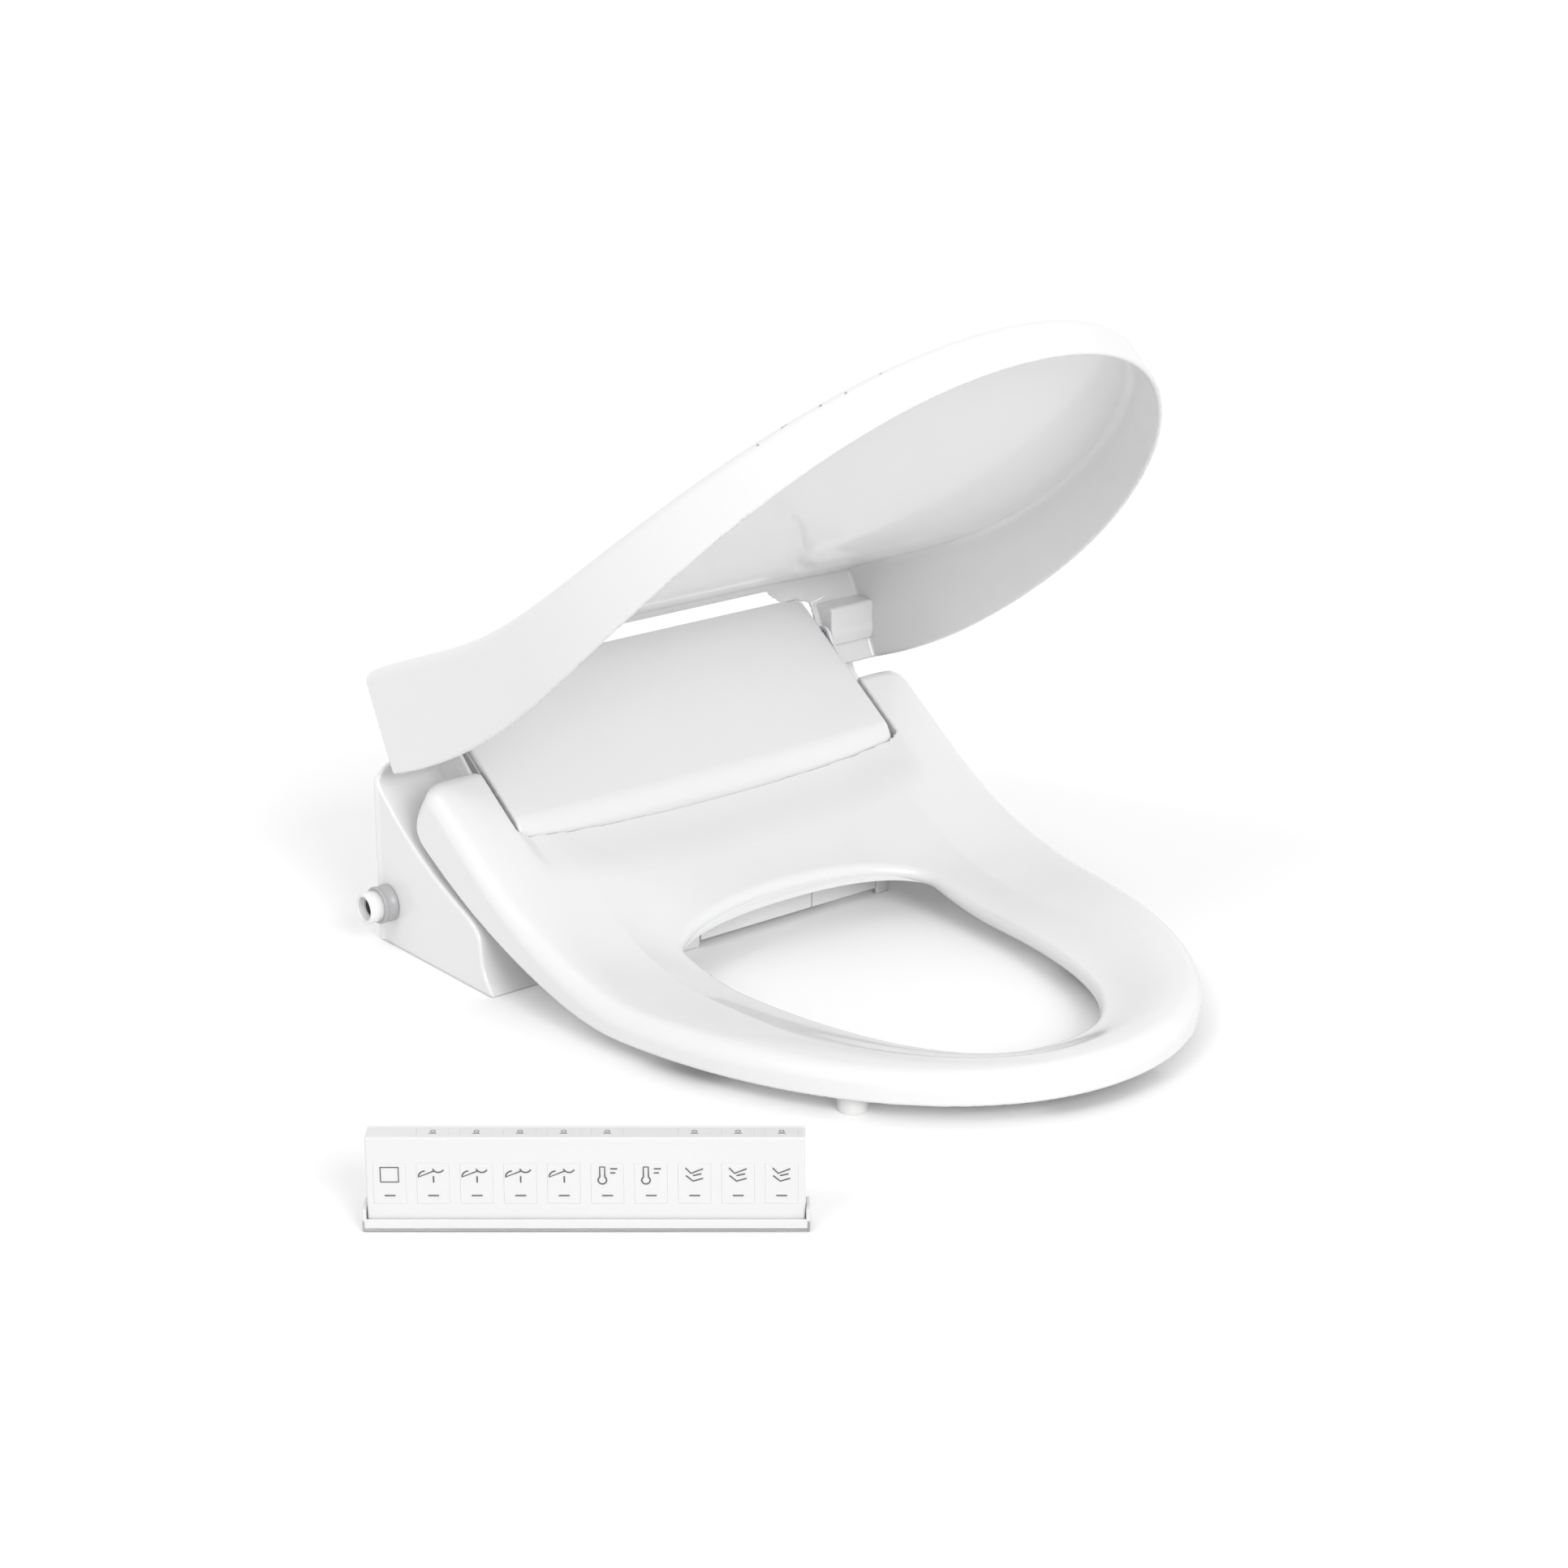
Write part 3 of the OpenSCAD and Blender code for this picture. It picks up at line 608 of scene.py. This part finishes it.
# lid hinge bosses: soft-edged blocks between the axis and the lid's rear wall
for sign, side in ((-1, "left"), (1, "right")):
    def boss_field(x, y, z, sign=sign):
        c, s = math.cos(LID_OPEN), math.sin(LID_OPEN)
        dy, dz = y - HINGE_Y, z - HINGE_Z
        u, v = dy * c + dz * s, -dy * s + dz * c
        block = both(slab(u, -6, 40), slab(v, -7.5, 20), 3.0)
        body = either(block, np.hypot(dy, dz) - 6.5, 1.0)
        body = both(body, slab(x * sign, 157.6, 194.6), 1.2)
        body = np.maximum(body, lid_rear(y, z) + 1)
        return np.maximum(body, 4.1 - np.hypot(dy, dz))
    low, high = sorted((sign * 157.6, sign * 194.6))
    boss = mould("hinge_boss_" + side, boss_field, (low, 4, 126), (high, 44, 172), 1.2, 0.4, open_lid)
    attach(boss, "lid")
    if side == "left":
        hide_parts("lid_bosses")

# flaps of the nozzle nose
for name, x0, x1 in (("nozzle_flap", -45.5, 45.2), ("dryer_flap", 45.8, 99.5)):
    leaf = bar(name + "_leaf", (x0, -91.7, 4.2), (x1, -89.6, 18.4), 0.8)
    wide = x1 - x0
    pin = turned(name + "_pin", [(0.01, 0), (1.3, 0), (1.6, 0.3), (1.6, wide - 0.3), (1.3, wide), (0.01, wide)],
                 (x0, -90, 18.5), (1, 0, 0), 24)
    add(joined(name + "_door", [leaf, pin]), name, name)

# ---------------------------------------------------------------- remote

REMOTE = Matrix.Translation((-0.3315, -0.3645, 0)) @ Matrix.Rotation(math.radians(-39), 4, "Z")
REMOTE_W, REMOTE_H = 228.0, 50.0
CASE_Z, CASE_Y, BACK_Y = 3.1, 2.4, 15.4
KEY_Z, KEY_PITCH = 27.0, 22.6
KEY_HALF, KEY_TALL, PROUD = 8.5, 11.5, 0.02
TOP_KEY_Y = (5, 13)
TOP = CASE_Z + REMOTE_H


def key_x(k):
    return (k - 4.5) * KEY_PITCH


def cut(obj, tools):
    """Cuts boxes out of a part."""
    for low, high in tools:
        tool = bar("tool", low, high, 0.01, REMOTE, 1)
        hole = obj.modifiers.new("hole", "BOOLEAN")
        hole.operation = "DIFFERENCE"
        hole.solver = "EXACT"
        hole.object = tool
        applied(obj)
        bpy.data.objects.remove(tool)
    return crisp(obj)


GAP = 0.04
HALF = REMOTE_W / 2
case = bar("remote_front_shell", (-HALF, CASE_Y, CASE_Z), (HALF, BACK_Y - 0.15, TOP), 1.2, REMOTE, 4)
cut(case, [((key_x(k) - KEY_HALF - GAP, CASE_Y - 2, KEY_Z - KEY_TALL - GAP),
            (key_x(k) + KEY_HALF + GAP, CASE_Y + 2.5, KEY_Z + KEY_TALL + GAP)) for k in range(10)])
cut(case, [((key_x(k) - KEY_HALF - GAP, TOP_KEY_Y[0] - GAP, TOP - 2.5),
            (key_x(k) + KEY_HALF + GAP, TOP_KEY_Y[1] + GAP, TOP + 2)) for k in range(10) if k not in (0, 6)])
add(case, "remote", "remote_case")
back = bar("remote_rear_shell", (-HALF, BACK_Y + 0.15, CASE_Z), (HALF, BACK_Y + 2, TOP), 0.9, REMOTE)
add(back, "remote", "remote_back")
door = bar("battery_door_plate", (-47.8, BACK_Y + 0.7, CASE_Z + 5.6),
           (47.8, BACK_Y + 2.4, CASE_Z + 17.8), 0.6, REMOTE)
add(door, "battery_door", "battery_door")

cradle = [bar("c0", (-116.5, 0, 0), (116.5, 21, 3), 0.7, REMOTE),
          bar("c1", (-116.5, 0, 0), (116.5, 2, 7), 0.7, REMOTE),
          bar("c2", (-116.5, 18, 0), (116.5, 21, 7), 0.7, REMOTE)]
for s in (-1, 1):
    cradle.append(bar("c3", (s * 61 - 11, 18, 0), (s * 61 + 11, 21, 40), 0.8, REMOTE))
    x0, x1 = sorted((s * 114.4, s * 116.5))
    cradle.append(bar("c4", (x0, 0, 0), (x1, 16, 13), 0.7, REMOTE))
add(joined("remote_holder", cradle), "housing", "remote_cradle")


def stroke(points, width=0.45, closed=False):
    """A thin raised line on a key, through points in the remote's own frame."""
    curve = bpy.data.curves.new("stroke", "CURVE")
    curve.dimensions = "3D"
    curve.bevel_depth = width * MM / 2
    curve.bevel_resolution = 2
    line = curve.splines.new("POLY")
    line.points.add(len(points) - 1)
    for p, q in zip(line.points, points):
        p.co = (q[0] * MM, q[1] * MM, q[2] * MM, 1)
    line.use_cyclic_u = closed
    temp = bpy.data.objects.new("stroke", curve)
    bpy.context.scene.collection.objects.link(temp)
    mesh = bpy.data.meshes.new_from_object(temp.evaluated_get(bpy.context.evaluated_depsgraph_get()))
    bpy.data.objects.remove(temp)
    obj = bpy.data.objects.new("stroke", mesh)
    bpy.context.scene.collection.objects.link(obj)
    return obj


def arc(cx, cz, r, start, stop, count=12):
    return [(cx + r * math.cos(math.radians(a)), cz + r * math.sin(math.radians(a)))
            for a in np.linspace(start, stop, count)]


def icon(kind):
    """Generic line signs, as lists of (x, z) strokes about the key's centre."""
    if kind == "square":
        return [([(-3.6, -3.2), (3.6, -3.2), (3.6, 3.2), (-3.6, 3.2)], True)]
    if kind == "spray":
        return [(arc(-3.2, -1, 2.6, 90, 180, 8) + [(0.4, 1.6)], False),
                (arc(2.2, 3.4, 2.4, 200, 330, 8), False), ([(0.2, -0.6), (0.2, -3.4)], False)]
    if kind == "thermometer":
        return [(arc(-2, -2.4, 1.7, 125, 415, 14), False),
                ([(-3, -1.1), (-3, 3.4), (-1, 3.4), (-1, -1.1)], False),
                ([(1.2, 2.6), (4, 2.6)], False), ([(1.2, 0.8), (3.2, 0.8)], False)]
    return [([(-3.6, 3), (-1.4, 0.6), (3.4, 2.6)], False),
            ([(-3.4, -0.4), (-0.6, -2.8), (3.4, -1.6)], False), ([(-0.6, -0.4), (2.8, 0.4)], False)]


def printed(body, lines):
    """A key's sign, which rides with the key."""
    sign = joined(body + "_sign", lines)
    sign.data.transform(REMOTE)
    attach(sign, body)
    signs.append(sign)


FRONT_ICONS = ["square"] + ["spray"] * 4 + ["thermometer"] * 2 + ["fan"] * 3
ICON_SCALE = 1.3
signs = []
for k, kind in enumerate(FRONT_ICONS):
    body = "front_key_%d" % (k + 1)
    x = key_x(k)
    y = CASE_Y - PROUD
    cap = bar(body + "_cap", (x - KEY_HALF, y, KEY_Z - KEY_TALL),
              (x + KEY_HALF, CASE_Y + 1.6, KEY_Z + KEY_TALL), 0.12, REMOTE)
    add(cap, body, body)
    lines = [stroke([(x + a * ICON_SCALE, y, KEY_Z + 5.0 + b * ICON_SCALE) for a, b in pts], 0.8, closed)
             for pts, closed in icon(kind)]
    lines.append(stroke([(x - 2.8, y, KEY_Z - 7.0), (x + 2.8, y, KEY_Z - 7.0)], 0.8))
    printed(body, lines)
for k in range(8):
    body = "top_key_%d" % (k + 1)
    x = key_x(k + 1 if k < 5 else k + 2)
    z = TOP + PROUD
    cap = bar(body + "_cap", (x - KEY_HALF, TOP_KEY_Y[0], TOP - 1.6), (x + KEY_HALF, TOP_KEY_Y[1], z),
              0.12, REMOTE)
    add(cap, body, body)
    printed(body, [stroke([(x - 2, 7.6, z), (x + 2, 7.6, z)], 0.5),
                   stroke([(x + a, 10 + b, z) for a, b in arc(0, 0, 1.3, 0, 330, 10)], 0.45, True)])


# ---------------------------------------------------------------- materials

def plastic(name, colour, rough, coat=0.3, grain=0.0, grain_size=900.0, mottle=0.01):
    """Moulded plastic: a faint mottle, slight variation in gloss and, if asked, a fine grain."""
    material = bpy.data.materials.new(name)
    material.use_nodes = True
    nodes, links = material.node_tree.nodes, material.node_tree.links
    shader = nodes["Principled BSDF"]
    shader.inputs["Coat Weight"].default_value = coat
    shader.inputs["Coat Roughness"].default_value = 0.04
    shader.inputs["IOR"].default_value = 1.5
    place = nodes.new("ShaderNodeTexCoord")
    cloud = nodes.new("ShaderNodeTexNoise")
    cloud.inputs["Scale"].default_value = 9.0
    cloud.inputs["Detail"].default_value = 4.0
    links.new(place.outputs["Object"], cloud.inputs["Vector"])
    tone = nodes.new("ShaderNodeValToRGB")
    dark = [max(c - mottle, 0) for c in colour]
    tone.color_ramp.elements[0].position = 0.3
    tone.color_ramp.elements[0].color = (*dark, 1)
    tone.color_ramp.elements[1].position = 0.7
    tone.color_ramp.elements[1].color = (*colour, 1)
    links.new(cloud.outputs["Fac"], tone.inputs["Fac"])
    links.new(tone.outputs["Color"], shader.inputs["Base Color"])
    gloss = nodes.new("ShaderNodeMapRange")
    gloss.inputs["To Min"].default_value = rough * 0.85
    gloss.inputs["To Max"].default_value = rough * 1.2
    links.new(cloud.outputs["Fac"], gloss.inputs["Value"])
    links.new(gloss.outputs["Result"], shader.inputs["Roughness"])
    fine = nodes.new("ShaderNodeTexNoise")
    fine.inputs["Scale"].default_value = grain_size if grain else 55.0
    fine.inputs["Detail"].default_value = 2.0
    links.new(place.outputs["Object"], fine.inputs["Vector"])
    bump = nodes.new("ShaderNodeBump")
    bump.inputs["Strength"].default_value = grain if grain else 0.04
    bump.inputs["Distance"].default_value = 0.0002
    links.new(fine.outputs["Fac"], bump.inputs["Height"])
    links.new(bump.outputs["Normal"], shader.inputs["Normal"])
    return material


def metal(name, colour, rough):
    material = plastic(name, colour, rough, 0.0, 0.25, 400.0, 0.04)
    material.node_tree.nodes["Principled BSDF"].inputs["Metallic"].default_value = 1.0
    return material


LOOKS = {
    "white_gloss": plastic("gloss_white_plastic", (0.78, 0.78, 0.785), 0.20, 0.3),
    "white_satin": plastic("satin_white_plastic", (0.78, 0.78, 0.78), 0.38, 0.0, 0.12),
    "grey_part": plastic("grey_plastic", (0.30, 0.30, 0.32), 0.45, 0.0, 0.15),
    "dark_part": plastic("black_plastic", (0.03, 0.03, 0.033), 0.4, 0.0, 0.2),
    "steel": metal("brushed_steel", (0.60, 0.61, 0.63), 0.32),
    "pad": plastic("soft_pad", (0.74, 0.74, 0.73), 0.6, 0.0, 0.3, 1500.0),
    "board": plastic("circuit_board", (0.04, 0.20, 0.10), 0.35, 0.1, 0.1),
    "heater": metal("heater_foil", (0.75, 0.66, 0.42), 0.4),
}
# a darker copy of the white plastic for the remote, its holder and keys: painted shade, so the remote reads
# less lit than the seat
shaded_remote_white = plastic("remote_white_plastic_painted_shade", (0.71, 0.71, 0.715), 0.3, 0.15)
union_grey = plastic("union_nut_grey", (0.40, 0.40, 0.41), 0.35, 0.1, 0.1)
ink = plastic("sign_ink", (0.10, 0.10, 0.105), 0.5)

slot_of = {s["node"]: s["material_slot"] for s in frame["record"]["subparts"]}
for node, obj in frame["nodes"].items():
    obj.data.materials.clear()
    obj.data.materials.append(LOOKS[slot_of[node]])
drawn = [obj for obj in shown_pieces() if obj not in frame["nodes"].values()]
for obj in drawn:
    if obj in signs:
        look = ink
    # remote pieces take the darker copy of the white plastic, which is painted shade
    elif obj.name.startswith(("front_key", "top_key", "remote_")):
        look = shaded_remote_white
    else:
        look = LOOKS["white_gloss"]
    obj.data.materials.clear()
    obj.data.materials.append(look)
# the disc in the bore takes black plastic, which is painted shade
for obj, look in ((nut, union_grey), (screen_and_bore_shade, LOOKS["dark_part"]), (inlet, LOOKS["white_satin"])):
    obj.data.materials[0] = look

# ---------------------------------------------------------------- stage and light

floor_mesh = bpy.data.meshes.new("floor")
floor_mesh.from_pydata([(-6, -6, 0), (6, -6, 0), (6, 6, 0), (-6, 6, 0)], [], [(0, 1, 2, 3)])
floor = bpy.data.objects.new("floor", floor_mesh)
floor.location.z = -0.0002
bpy.context.scene.collection.objects.link(floor)
floor_look = bpy.data.materials.new("floor_white")
floor_look.use_nodes = True
floor_shader = floor_look.node_tree.nodes["Principled BSDF"]
floor_shader.inputs["Base Color"].default_value = (0.85, 0.85, 0.85, 1)
floor_shader.inputs["Roughness"].default_value = 0.9
floor_shader.inputs["Specular IOR Level"].default_value = 0.0
floor_shader.inputs["Emission Color"].default_value = (1, 1, 1, 1)
seen = floor_look.node_tree.nodes.new("ShaderNodeLightPath")
glow = floor_look.node_tree.nodes.new("ShaderNodeMath")
glow.operation = "MULTIPLY_ADD"
glow.inputs[1].default_value = 0.09
glow.inputs[2].default_value = 0.03
floor_look.node_tree.links.new(seen.outputs["Is Camera Ray"], glow.inputs[0])
floor_look.node_tree.links.new(glow.outputs[0], floor_shader.inputs["Emission Strength"])
floor_mesh.materials.append(floor_look)

# a white room, brighter above; what the camera and the reflections see is plain white
world = bpy.data.worlds.new("studio")
world.use_nodes = True
nodes, links = world.node_tree.nodes, world.node_tree.links
room = nodes["Background"]
place = nodes.new("ShaderNodeTexCoord")
lean = nodes.new("ShaderNodeVectorMath")
lean.operation = "DOT_PRODUCT"
lean.inputs[1].default_value = (-0.05, 0.0, 0.12)
links.new(place.outputs["Generated"], lean.inputs[0])
level = nodes.new("ShaderNodeMath")
level.inputs[1].default_value = 0.75
links.new(lean.outputs["Value"], level.inputs[0])
links.new(level.outputs[0], room.inputs["Color"])
room.inputs["Strength"].default_value = 1.0
backdrop = nodes.new("ShaderNodeBackground")
backdrop.inputs["Color"].default_value = (1, 1, 1, 1)
backdrop.inputs["Strength"].default_value = 1.05
ray = nodes.new("ShaderNodeLightPath")
choice = nodes.new("ShaderNodeMixShader")
either_ray = nodes.new("ShaderNodeMath")
either_ray.operation = "MAXIMUM"
links.new(ray.outputs["Is Camera Ray"], either_ray.inputs[0])
links.new(ray.outputs["Is Glossy Ray"], either_ray.inputs[1])
links.new(either_ray.outputs[0], choice.inputs["Fac"])
links.new(room.outputs["Background"], choice.inputs[1])
links.new(backdrop.outputs["Background"], choice.inputs[2])
links.new(choice.outputs["Shader"], nodes["World Output"].inputs["Surface"])
bpy.context.scene.world = world


def distant(name, heading, strength, spread):
    light = bpy.data.lights.new(name, "SUN")
    light.energy = strength
    light.angle = math.radians(spread)
    obj = bpy.data.objects.new(name, light)
    obj.rotation_euler = Vector(heading).to_track_quat("-Z", "Y").to_euler()
    bpy.context.scene.collection.objects.link(obj)


distant("window_left", (0.66, 0.10, -0.74), 0.42, 18)
distant("window_front", (0.14, 0.84, -0.46), 1.40, 26)
bpy.context.scene.view_settings.view_transform = "Standard"
